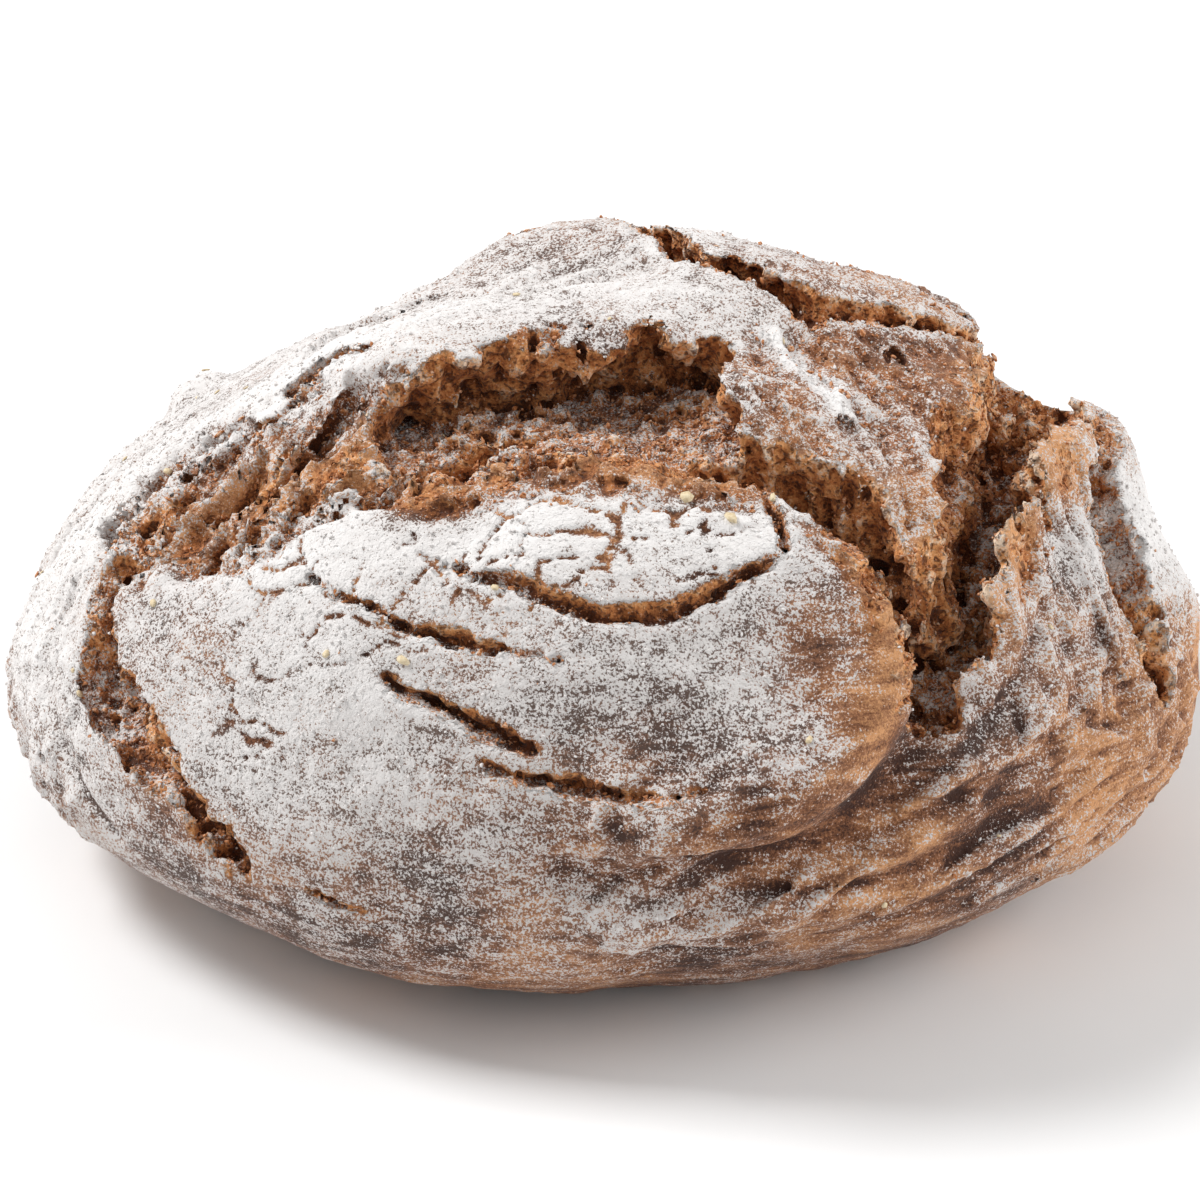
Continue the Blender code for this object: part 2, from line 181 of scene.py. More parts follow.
# Stringy skin: outline seen from above, how far it sinks, height of its strands, their
# direction, width and length, how torn the skin is, and the lowest height it reaches down to
STRANDS = {
    "left": (
        [(-96, -26), (-88, -8), (-74, -3), (-60, -10), (-46, -12), (-34, -18), (-32, -40), (-46, -46),
         (-62, -46), (-78, -42), (-88, -36)],
        3.4, 7.5, (0.55, 0.3, 0.75), 5.0, 17, 1.0, 60),
    "rim": (
        [(-46, -42), (-32, -50), (-10, -51), (14, -50), (32, -54), (46, -63), (52, -73), (60, -62),
         (52, -46), (30, -38), (-8, -38), (-30, -37)],
        0.8, 2.2, (0.5, 0.6, -0.3), 3.0, 8, 0.9, 80),
    "middle": (
        [(24, -32), (28, -6), (40, 5), (62, 8), (80, 18), (78, -4), (68, -30), (56, -54), (44, -42)],
        0.6, 2.6, (0.45, -0.75, -0.4), 4.0, 14, 0.6, 80),
    "back slab": (
        [(14, 20), (34, 12), (56, 14), (78, 22), (84, 36), (60, 46), (34, 44), (16, 36)],
        0.0, 1.8, (0.93, -0.25, -0.3), 4.5, 26, 0.3, 80),
    "top": (
        [(-70, -4), (-40, -10), (-10, -2), (16, 6), (24, 24), (0, 34), (-30, 36), (-60, 24)],
        0.0, 2.4, (0.85, 0.4, 0.2), 7.0, 34, 0.0, 80),
    "wall": (
        [(70, -66), (76, -46), (86, -22), (94, 8), (104, 14), (108, -16), (102, -46), (88, -64)],
        0.0, 3.0, (0.3, -0.5, -0.8), 6.5, 48, 0.0, 52),
    "wall rim": (
        [(70, -54), (76, -38), (85, -22), (93, -4), (97, 10), (102, 12), (98, -8), (89, -28), (80, -48)],
        0.0, 2.2, (0.25, -0.4, -0.85), 3.5, 10, 0.9, 72),
    "lower right": (
        [(0, -110), (0, -88), (40, -86), (66, -74), (86, -56), (104, -24), (128, -20), (110, -70), (60, -110)],
        0.0, 2.6, (0.8, 0.45, 0.3), 6.0, 50, 0.0, 4),
    "left shoulder": (
        [(-130, -60), (-130, 40), (-96, 50), (-76, 20), (-84, -4), (-98, -30), (-104, -62)],
        0.0, 2.4, (0.5, 0.35, 0.8), 7.0, 34, 0.0, 10),
}

# Flour (above 0) and bare crust (below 0): route, amount, reach
DUSTINGS = {
    "lobe": ([(-14, -56, 98), (12, -55, 100), (28, -56, 97)], 0.34, 11),
    "lobe, left": ([(-66, -52, 84), (-40, -53, 93), (-26, -56, 96)], 0.26, 10),
    "lobe, middle": ([(-60, -68, 66), (-20, -76, 80), (30, -72, 82)], 0.12, 20),
    "top": ([(-52, 0, 104), (-26, 6, 111), (6, 12, 113)], 0.17, 14),
    "left shoulder": ([(-108, -20, 60), (-92, 0, 84), (-74, 12, 96)], 0.22, 26),
    "middle patch": ([(34, -4, 110), (38, -10, 109)], 0.55, 3.5),
    "second middle patch": ([(41, -14, 107), (45, -22, 105)], 0.55, 3.5),
    "back": ([(16, 30, 116), (38, 34, 112)], 0.20, 10),
    "wall": ([(82, -50, 78), (88, -36, 82)], 0.16, 8),
    "right": ([(106, -14, 74), (112, 8, 64), (112, 20, 50)], 0.50, 15),
    "bare left": ([(-86, -26, 86), (-64, -28, 94), (-46, -29, 100)], -0.24, 13),
    "bare left split": ([(-95, -34, 72), (-97, -48, 60), (-89, -61, 52), (-76, -75, 40)], -0.22, 7),
    "bare gorge": ([(62, -54, 86), (74, -20, 92), (88, 24, 86)], -0.25, 11),
    "bare rim": ([(-32, -43, 102), (-6, -40, 107), (26, -45, 104)], -0.40, 7),
    "bare right rim": ([(47, -53, 94), (54, -66, 82), (50, -80, 68)], -0.40, 6),
    "bare place on the lobe": ([(40, -72, 84), (42, -78, 76)], -0.22, 6),
    "bare left of the oval": ([(-36, -50, 97), (-24, -52, 99)], -0.30, 6),
    "bare lower right": ([(40, -94, 46), (70, -80, 44), (96, -58, 46)], -0.16, 20),
    "bare foot": ([(-60, -86, 14), (0, -94, 14), (60, -84, 14)], -0.06, 16),
    "bare right edge": ([(112, -30, 34), (116, -8, 34)], -0.16, 16),
    "bare middle": ([(48, -10, 108), (62, -14, 102)], -0.08, 14),
}

BRAN_PLACES = ((16, -48, 100), (24, -53, 97), (-37, -74, 80))
GRAINS, CRUMBS, SHREDS, FLAKES = 9000, 3000, 7000, 40

random = np.random.default_rng(7)
LATTICE = 32
LEVELS = random.random((LATTICE,) * 3, dtype=np.float32)
SEEDS = random.random((LATTICE, LATTICE, LATTICE, 3), dtype=np.float32)


# --- Noise, in millimetres -------------------------------------------------------------------


def noise(points, size, shift=0.0):
    """Smooth noise from -1 to 1 with lumps about `size` across."""
    q = points / size + shift
    cell = np.floor(q).astype(np.int32)
    t = (q - cell).astype(np.float32)
    t = t * t * (3 - 2 * t)
    x0, y0, z0 = (cell % LATTICE).T
    x1, y1, z1 = ((cell + 1) % LATTICE).T
    tx, ty, tz = t.T
    total = 0
    for x, wx in ((x0, 1 - tx), (x1, tx)):
        for y, wy in ((y0, 1 - ty), (y1, ty)):
            for z, wz in ((z0, 1 - tz), (z1, tz)):
                total = total + wx * wy * wz * LEVELS[x, y, z]
    return total * 2 - 1


def fractal(points, size, octaves=3, shift=0.0):
    return sum(noise(points, size / 2**i, shift + 17.3 * i) / 2**i for i in range(octaves))


def cells(points, size, shift=0.0):
    """Distances to the nearest and the second nearest of scattered seeds, in units of `size`."""
    q = points / size + shift
    cell = np.floor(q).astype(np.int32)
    first = np.full(len(points), 9.0, np.float32)
    second = first.copy()
    for step in np.ndindex(3, 3, 3):
        c = cell + np.array(step) - 1
        x, y, z = (c % LATTICE).T
        away = np.linalg.norm(c + SEEDS[x, y, z] - q, axis=1).astype(np.float32)
        second = np.minimum(second, np.maximum(first, away))
        first = np.minimum(first, away)
    return first, second


def ease(x):
    x = np.clip(x, 0, 1)
    return x * x * (3 - 2 * x)


def unit(vector):
    return np.asarray(vector, float) / np.linalg.norm(vector)


# --- Routes ----------------------------------------------------------------------------------


def smooth_route(points, steps=4, closed=False):
    """A curve through the points (Catmull-Rom), as rows of an array."""
    p = np.asarray(points, float)
    if closed:
        p = np.vstack([p[-1:], p, p[:2]])
    else:
        p = np.vstack([2 * p[0] - p[1], p, 2 * p[-1] - p[-2]])
    rows = []
    for a, b, c, d in zip(p, p[1:], p[2:], p[3:]):
        for t in np.arange(steps) / steps:
            rows.append(b + 0.5 * t * (c - a + t * (2 * a - 5 * b + 4 * c - d + t * (3 * b - a - 3 * c + d))))
    if not closed:
        rows.append(p[-2])
    return np.array(rows)


def nearest_on_route(points, route):
    """Distance, share of the length and, in 2-D, the side (+1 left) of the nearest place on a polyline."""
    best = np.full(len(points), 1e9)
    share = np.zeros(len(points))
    side = np.zeros(len(points))
    n = len(route) - 1
    for i in range(n):
        start, along = route[i], route[i + 1] - route[i]
        t = np.clip((points - start) @ along / (along @ along), 0, 1)
        off = points - start - t[:, None] * along
        away = np.einsum("ij,ij->i", off, off)
        near = away < best
        best = np.where(near, away, best)
        share = np.where(near, (i + t) / n, share)
        if points.shape[1] == 2:
            side = np.where(near, np.sign(along[0] * off[:, 1] - along[1] * off[:, 0]), side)
    return np.sqrt(best), share, side


def inside_outline(points, outline):
    """Distance to a closed outline in plan, positive inside."""
    ring = np.vstack([outline, outline[:1]])
    away = nearest_on_route(points, ring)[0]
    odd = np.zeros(len(points), bool)
    for (ax, ay), (bx, by) in zip(ring, ring[1:]):
        if ay != by:
            level = (ay > points[:, 1]) != (by > points[:, 1])
            odd ^= level & (points[:, 0] < ax + (points[:, 1] - ay) * (bx - ax) / (by - ay))
    return np.where(odd, away, -away)


def near_box(points, shape, margin):
    """Which points are within a margin of a shape's box, in as many axes as the shape has."""
    shape = np.asarray(shape, float)
    axes = shape.shape[1]
    low, high = shape.min(axis=0) - margin, shape.max(axis=0) + margin
    return np.flatnonzero(np.all((points[:, :axes] > low) & (points[:, :axes] < high), axis=1))


def spots(points, table, snapped=False):
    """The sum of soft ridges along routes, which can be drawn onto the crust first."""
    total = np.zeros(len(points))
    for route, height, reach in table.values():
        route = on_the_crust(smooth_route(route)) if snapped else smooth_route(route)
        near = near_box(points, route, 2.4 * reach)
        away = nearest_on_route(points[near], route)[0]
        total[near] += height * np.exp(-((away / reach) ** 2))
    return total


# --- The loaf's field ------------------------------------------------------------------------


def plain_loaf(points):
    """Distance to the dome before it burst."""
    x, y, z = points[:, 0], points[:, 1], points[:, 2] - BELLY_HEIGHT
    reach = np.where(y < 0, FRONT_REACH, BACK_REACH)
    power = np.where(z < 0, UNDERSIDE_POWER, 2.0)
    tall = np.where(z < 0, SINK, RISE)
    flat = np.hypot(x / HALF_WIDTH, y / reach) + 1e-6
    up = np.abs(z) / tall
    size = (flat**power + up**power) ** (1 / power) + 1e-6
    slope = np.hypot(
        (flat / size) ** (power - 1) * np.hypot(x / HALF_WIDTH**2, y / reach**2) / flat,
        (up / size) ** (power - 1) / tall,
    )
    return (size - 1) / np.maximum(slope, 1 / 150)


def on_the_crust(points):
    """The points moved along their rays from the middle of the belly onto the crust."""
    rays = points - (0, 0, BELLY_HEIGHT)
    rays /= np.linalg.norm(rays, axis=1)[:, None]
    x, y, z = rays.T
    power = np.where(z < 0, UNDERSIDE_POWER, 2.0)
    flat = np.hypot(x / HALF_WIDTH, y / np.where(y < 0, FRONT_REACH, BACK_REACH))
    up = np.abs(z) / np.where(z < 0, SINK, RISE)
    plain = rays / ((flat**power + up**power) ** (1 / power))[:, None] + (0, 0, BELLY_HEIGHT)
    return plain + rays * spots(plain, RIDGES)[:, None]


def crust_field(points):
    """Distance to the unbroken crust, with its ridges, hollows and lumps."""
    field = plain_loaf(points)
    near = np.abs(field) < SKIN_BAND
    q = points[near]
    field[near] -= spots(q, RIDGES) + spots(q, CREASES, True) + 1.3 * fractal(q, 34, 2, 3.1) + 0.45 * fractal(q, 10, 2, 5.5)
    return field


def across(points, inward):
    """The points seen along a direction, as 2-D."""
    inward = unit(inward)
    right = unit(np.cross(inward, (0, 1, 0) if abs(inward[1]) < 0.8 else (0, 0, 1)))
    return np.column_stack([points @ right, points @ np.cross(inward, right)])


def cut_splits(points, crust, tear, grain):
    for route, inward, half_widths, depths, lips, jag in SPLITS.values():
        route = on_the_crust(smooth_route(route))
        bottom = route + unit(inward) * max(depths)
        near = near_box(points, np.vstack([route, bottom]), max(half_widths) + 2 * LIP_REACH)
        q = points[near]
        warp = jag * np.column_stack([fractal(q, 7, 3, 1.7), fractal(q, 7, 3, 8.2)])
        away, share, side = nearest_on_route(across(q, inward) + warp, across(route, inward))
        knots = np.linspace(0, 1, len(half_widths))
        wide, deep = np.interp(share, knots, half_widths), np.interp(share, knots, depths)
        lip = np.where(side > 0, lips[0], lips[1]) * ease(np.minimum(share, 1 - share) * 6)
        crust[near] -= lip * np.exp(-((away / LIP_REACH) ** 2))
        below = -crust[near]
        wide = wide * (1 - 0.7 * np.clip(below / deep, 0, 1) ** 1.5)
        cut = np.minimum(wide - away, (deep - below) * 0.7)
        grain[near] = np.where(cut > tear[near], np.clip(max(half_widths) / 7, 0.16, 0.9), grain[near])
        tear[near] = np.maximum(tear[near], cut)


def cut_pockets(points, tear, grain):
    for outline, height, lean, floor_at, slope, jag in POCKETS.values():
        outline = smooth_route(outline, closed=True)
        near = near_box(points, outline, 14)
        near = near[points[near, 2] > 40]
        q = points[near]
        warp = jag * np.column_stack([fractal(q, 11, 3, 2.7), fractal(q, 11, 3, 6.2)])
        plan = q[:, :2] - np.array(lean) * (height - q[:, 2:]) + warp
        floor = floor_at[2] + (q[:, :2] - floor_at[:2]) @ slope
        cut = np.minimum(inside_outline(plan, outline), (q[:, 2] - floor) * 0.9)
        grain[near] = np.where(cut > tear[near], 1.0, grain[near])
        tear[near] = np.maximum(tear[near], cut)


def strand_depth(points):
    """How far the stringy places sink below the crust, and how torn they are."""
    sink = np.zeros(len(points))
    share = np.zeros(len(points))
    for number, (outline, deep, tall, along, wide, long, torn, lowest) in enumerate(STRANDS.values()):
        outline = smooth_route(outline, closed=True)
        near = near_box(points, outline, 10)
        near = near[points[near, 2] > lowest - 8]
        q = points[near]
        warp = 3.0 * np.column_stack([fractal(q, 9, 3, 2.7), fractal(q, 9, 3, 6.2)])
        mask = ease((inside_outline(q[:, :2] + warp, outline) + 3) / 7) * ease((q[:, 2] - lowest + 6) / 12)
        along = unit(along)
        bent = q + 0.35 * wide * np.column_stack([noise(q, 2.2 * wide, 4.4 + i) for i in range(3)])
        stretched = bent - (bent @ along)[:, None] * along * (1 - wide / long)
        ridge = 1 - 4.5 * np.abs(noise(stretched, wide, 1.3 + number)).clip(0, 0.5)
        fine = 1 - 4.5 * np.abs(noise(stretched, 0.45 * wide, 7.7 + number)).clip(0, 0.5)
        sink[near] += mask * (deep - tall * (0.36 * ridge + 0.22 * fine))
        share[near] = np.maximum(share[near], torn * mask)
    return sink, share


def crumb(points):
    """The relief of torn crumb: bubbles of two sizes, hanging fibres and lumps."""
    large = cells(points * (1, 1, 0.7), 6.5, 2.3)[0]
    small = cells(points * (1, 1, 0.8), 2.8, 4.1)[0]
    fibres = np.abs(noise(points * (1, 1, 0.4), 3.2, 5.1)) + 0.5 * np.abs(noise(points * (1, 1, 0.5), 1.9, 8.8))
    return 1.6 * (large - 0.55) + 1.2 * (small - 0.55) + 4.0 * (fibres - 0.35) + 2.8 * fractal(points, 12, 2, 9.1)


def loaf_field(points):
    """Distance to the loaf, how far each place is into a tear, and how deep under the crust it is."""
    crust = crust_field(points)
    tear = np.full(len(points), -1e3)
    grain = np.zeros(len(points))
    cut_splits(points, crust, tear, grain)
    cut_pockets(points, tear, grain)
    depth = -crust
    crust = crust + strand_depth(points)[0]
    near = tear > -3
    tear[near] += grain[near] * crumb(points[near]) * ease((tear[near] + 3) / 2.5)
    field = np.maximum(np.maximum(crust, tear), -points[:, 2])
    return field, tear - crust, depth


# --- From the field to a mesh ----------------------------------------------------------------


def sample_field():
    """The field on a grid: worked out near the surface, and only its sign further away."""
    low = np.array(GRID_LOW)
    count = np.ceil((np.array(GRID_HIGH) - low) / (VOXEL * COARSE)).astype(int)
    index = np.stack(np.meshgrid(*[np.arange(n + 1) for n in count], indexing="ij"), -1).reshape(-1, 3)
    step = VOXEL * COARSE
    coarse = loaf_field(low + index * step)[0]
    shape = tuple(count + 1)
    near = (np.abs(coarse) < 1.5 * step + 1.5).reshape(shape)
    sign = (np.sign(coarse) * 9).astype(np.float32).reshape(shape)

    def spread(values):
        for axis in range(3):
            values = np.repeat(values, COARSE, axis=axis)
        return np.roll(values, (-(COARSE // 2),) * 3, (0, 1, 2))[tuple(slice(0, n * COARSE + 1) for n in count)]

    grid = spread(sign)
    wanted = np.argwhere(spread(near))
    grid[tuple(wanted.T)] = loaf_field(low + wanted * VOXEL)[0]
    return grid


def surface_net(grid):
    """Quads through the cells where the field changes sign."""
    solid = grid < 0
    size = np.array(grid.shape) - 1
    filled = np.zeros(tuple(size), np.int8)
    corners = list(np.ndindex(2, 2, 2))
    for i, j, k in corners:
        filled += solid[i:i + size[0], j:j + size[1], k:k + size[2]]
    cell = np.argwhere((filled > 0) & (filled < 8))
    index = np.full(tuple(size), -1)
    index[tuple(cell.T)] = np.arange(len(cell))

    place, crossings = np.zeros((len(cell), 3)), np.zeros(len(cell))
    for corner in corners:
        for axis in range(3):
            if corner[axis]:
                continue
            other = np.array(corner)
            other[axis] = 1
            a, b = grid[tuple((cell + corner).T)], grid[tuple((cell + other).T)]
            crosses = (a < 0) != (b < 0)
            where = np.tile(np.array(corner, float), (int(crosses.sum()), 1))
            where[:, axis] += a[crosses] / (a[crosses] - b[crosses])
            place[crosses] += where
            crossings[crosses] += 1
    vertices = np.array(GRID_LOW) + (cell + place / crossings[:, None]) * VOXEL

    quads = []
    for axis in range(3):
        u, v = (axis + 1) % 3, (axis + 2) % 3
        here = [slice(1, -1)] * 3
        here[axis] = slice(0, -1)
        there = list(here)
        there[axis] = slice(1, None)
        a, b = solid[tuple(here)], solid[tuple(there)]
        edge = np.argwhere(a != b)
        inner = b[tuple(edge.T)]
        edge = edge + 1
        edge[:, axis] -= 1
        ring = []
        for du, dv in ((0, 0), (1, 0), (1, 1), (0, 1)):
            around = edge.copy()
            around[:, u] -= du
            around[:, v] -= dv
            ring.append(index[tuple(around.T)])
        ring = np.column_stack(ring)
        ring[inner] = ring[inner][:, ::-1]
        quads.append(ring)
    return vertices, np.vstack(quads)


def main_part(vertices, quads):
    """Keeps the largest connected piece of a mesh."""
    label = np.arange(len(vertices))
    while True:
        lowest = label[quads].min(axis=1)
        new = label.copy()
        for corner in range(4):
            np.minimum.at(new, quads[:, corner], lowest)
        new = new[new]
        if np.array_equal(new, label):
            break
        label = new
    main = np.bincount(label).argmax()
    keep = label == main
    order = np.cumsum(keep) - 1
    return vertices[keep], order[quads[keep[quads[:, 0]]]]


def neighbour_mean(values, quads, count):
    """Each vertex's mean over its neighbours along the quads' edges."""
    ends = np.vstack([quads[:, [i, (i + 1) % 4]] for i in range(4)])
    total = np.zeros((count,) + values.shape[1:])
    np.add.at(total, ends[:, 0], values[ends[:, 1]])
    np.add.at(total, ends[:, 1], values[ends[:, 0]])
    number = np.bincount(ends.ravel(), minlength=count)
    return total / number.reshape((-1,) + (1,) * (values.ndim - 1))


def normals_of(vertices, quads):
    across_quad = np.cross(vertices[quads[:, 2]] - vertices[quads[:, 0]], vertices[quads[:, 3]] - vertices[quads[:, 1]])
    total = np.zeros_like(vertices)
    for corner in range(4):
        np.add.at(total, quads[:, corner], across_quad)
    return total / np.maximum(np.linalg.norm(total, axis=1), 1e-9)[:, None]


# --- What each place looks like ---------------------------------------------------------------


def describe(vertices, quads):
    """The attributes that the material reads, and the vertices with their fine relief."""
    count = len(vertices)
    normals = normals_of(vertices, quads)
    torn_by, depth = loaf_field(vertices)[1:]
    torn = ease((torn_by + 0.6) / 1.2)
    strands = strand_depth(vertices)[1]

    # How hollow (above 0) or bulging (below 0) each place is; the material uses it to paint shade into the hollows, and
    # the flour thins there.
    hollow = neighbour_mean(vertices, quads, count) - vertices
    hollow = np.einsum("ij,ij->i", hollow, normals)
    wide_hollow = hollow
    for _ in range(6):
        wide_hollow = neighbour_mean(wide_hollow, quads, count)
    cavity = np.clip(wide_hollow * 6 + hollow * 1.5, -1, 1)

    x, y, z = vertices.T
    # Flour lies thicker, and so whiter, on upward faces and towards the left: partly real dusting, partly painted light
    # from above and the left.
    left = ease((40 - x) / 120)
    flour = 0.36 + 0.16 * np.clip(normals[:, 2], 0, 1) + 0.14 * left
    flour += spots(vertices, DUSTINGS, True) + 0.10 * fractal(vertices, 26, 3, 12.9)
    flour -= 0.10 * ease((26 - z) / 26) + 0.08 * ease((y - 40) / 90)
    flour -= 0.27 * torn * (1.2 - normals[:, 2]) + 0.16 * strands * (1 - torn)
    flour -= 0.22 * np.clip(cavity, -0.6, 1) * (1 + 0.8 * strands)

    # Crust tone: patchy baking colour, painted shade that darkens the hollows, and lighter, more orange crust towards
    # the right.
    bake_and_painted_shade = 0.5 + 0.35 * fractal(vertices, 18, 3, 31.7) - 0.5 * np.clip(cavity, 0, 1)
    bake_and_painted_shade = bake_and_painted_shade + 0.40 * ease((x - 60) / 55)

    plates, second = cells((vertices + 2.2 * noise(vertices, 5, 3.3)[:, None]) * (0.62, 1, 1.15), 8.5, 6.6)
    cracks = ease(1.1 - (second - plates) / 0.055) * ease((flour - 0.60) / 0.12) * (1 - torn) * ease((-38 - y) / 8)
    cracks *= ease(0.6 + 1.8 * noise(vertices, 16, 9.9)) * ease((34 - x) / 12)
    fine = 0.16 * fractal(vertices, 3.2, 2, 21.1) + 0.10 * noise(vertices, 1.6, 40.4)
    rough = np.maximum(torn, 0.8 * strands)
    fine = fine * (1 + 1.5 * rough) + rough * 0.55 * (1 - 5 * np.abs(noise(vertices * (1, 1, 0.6), 2.7, 17.7)).clip(0, 0.4)) + 0.20 * ease(flour - 0.4) * noise(vertices, 4.2, 50.5) - 1.0 * cracks
    torn = np.maximum(torn, strands * ease(0.5 + 0.35 * fractal(vertices, 8, 3, 44.4) + cavity))
    moved = vertices + normals * fine[:, None]
    moved[:, 2] = np.maximum(moved[:, 2], 0)
    moved[vertices[:, 2] < 0.05, 2] = 0

    around = np.arctan2(y, x)
    polar = np.arctan2(np.hypot(x, y), (z - BELLY_HEIGHT) * 1.4)
    flow = np.column_stack([np.cos(around) * 24, np.sin(around) * 24, polar * 80 - 14 * np.sin(around / 2)]) + 2.5 * fractal(vertices, 22, 2, 15.5)[:, None]
    return moved, {
        # deep is how far a torn place lies under the crust; the material darkens it as painted shade.
        "torn": torn, "deep": np.clip(depth / 20, 0, 1) * ease((torn_by + 1) / 2), "flour": flour - 0.8 * cracks,
        "bake_and_painted_shade": bake_and_painted_shade, "cavity": cavity, "strands": strands, "flow": flow * MM,
    }


# --- Materials -------------------------------------------------------------------------------


def srgb(red, green, blue):
    """An 8-bit screen colour as the linear colour that a shader takes."""
    def linear(level):
        level = level / 255
        return level / 12.92 if level <= 0.04045 else ((level + 0.055) / 1.055) ** 2.4
    return (linear(red), linear(green), linear(blue), 1.0)


class Nodes:
    """A material's node tree, built by short calls that each return an output socket."""

    def __init__(self, name):
        self.material = bpy.data.materials.new(name)
        self.material.use_nodes = True
        self.tree = self.material.node_tree
        self.shader = self.tree.nodes["Principled BSDF"]

    def put(self, socket, value):
        if isinstance(value, bpy.types.NodeSocket):
            self.tree.links.new(value, socket)
        else:
            socket.default_value = value

    def attribute(self, name, output="Fac"):
        node = self.tree.nodes.new("ShaderNodeAttribute")
        node.attribute_name = name
        return node.outputs[output]

    def place(self):
        return self.tree.nodes.new("ShaderNodeTexCoord").outputs["Object"]

    def noise(self, vector, size, detail=2.0, roughness=0.5, distortion=0.0):
        """Noise with lumps about `size` millimetres across."""
        node = self.tree.nodes.new("ShaderNodeTexNoise")
        self.put(node.inputs["Vector"], vector)
        node.inputs["Scale"].default_value = 1 / (size * MM)
        node.inputs["Detail"].default_value = detail
        node.inputs["Roughness"].default_value = roughness
        node.inputs["Distortion"].default_value = distortion
        return node.outputs["Fac"]

    def cell(self, vector, size, feature="F1"):
        node = self.tree.nodes.new("ShaderNodeTexVoronoi")
        node.feature = feature
        self.put(node.inputs["Vector"], vector)
        node.inputs["Scale"].default_value = 1 / (size * MM)
        return node.outputs["Distance"]

    def math(self, operation, a, b=0.0, clamp=False):
        node = self.tree.nodes.new("ShaderNodeMath")
        node.operation = operation
        node.use_clamp = clamp
        self.put(node.inputs[0], a)
        self.put(node.inputs[1], b)
        return node.outputs[0]

    def total(self, *terms):
        """The sum of (socket, weight) pairs and plain numbers."""
        result = None
        for term in terms:
            value = self.math("MULTIPLY", *term) if isinstance(term, tuple) else term
            result = value if result is None else self.math("ADD", result, value)
        return result

    def between(self, value, low, high):
        """0 at low, 1 at high, smooth between."""
        node = self.tree.nodes.new("ShaderNodeMapRange")
        node.interpolation_type = "SMOOTHSTEP"
        self.put(node.inputs["Value"], value)
        node.inputs["From Min"].default_value = low
        node.inputs["From Max"].default_value = high
        return node.outputs["Result"]

    def mix(self, share, a, b):
        node = self.tree.nodes.new("ShaderNodeMix")
        node.data_type = "RGBA"
        self.put(node.inputs["Factor"], share)
        self.put(node.inputs["A"], a)
        self.put(node.inputs["B"], b)
        return node.outputs["Result"]

    def ramp(self, share, stops):
        node = self.tree.nodes.new("ShaderNodeValToRGB")
        self.put(node.inputs["Fac"], share)
        points = node.color_ramp.elements
        while len(points) < len(stops):
            points.new(0.5)
        for point, (position, colour) in zip(points, stops):
            point.position = position
            point.color = colour
        return node.outputs["Color"]

    def bump(self, height, distance, strength=1.0, normal=None):
        node = self.tree.nodes.new("ShaderNodeBump")
        node.inputs["Strength"].default_value = strength
        node.inputs["Distance"].default_value = distance * MM
        self.put(node.inputs["Height"], height)
        if normal is not None:
            self.put(node.inputs["Normal"], normal)
        return node.outputs["Normal"]


FLOUR_WHITE = srgb(239, 236, 234)
FLOUR_GREY = srgb(204, 198, 195)
FILM = srgb(168, 152, 142)
CRUST_DARK = srgb(62, 36, 26)
CRUST_BROWN = srgb(134, 87, 58)
CRUST_TAN = srgb(206, 150, 102)
TORN_DARK = srgb(92, 48, 22)
TORN_BROWN = srgb(188, 118, 66)
TORN_ORANGE = srgb(232, 166, 106)
TORN_PALE = srgb(240, 216, 190)
# Painted shade for the deep parts of the tears.
DEEP_TEAR_SHADE = srgb(66, 32, 14)


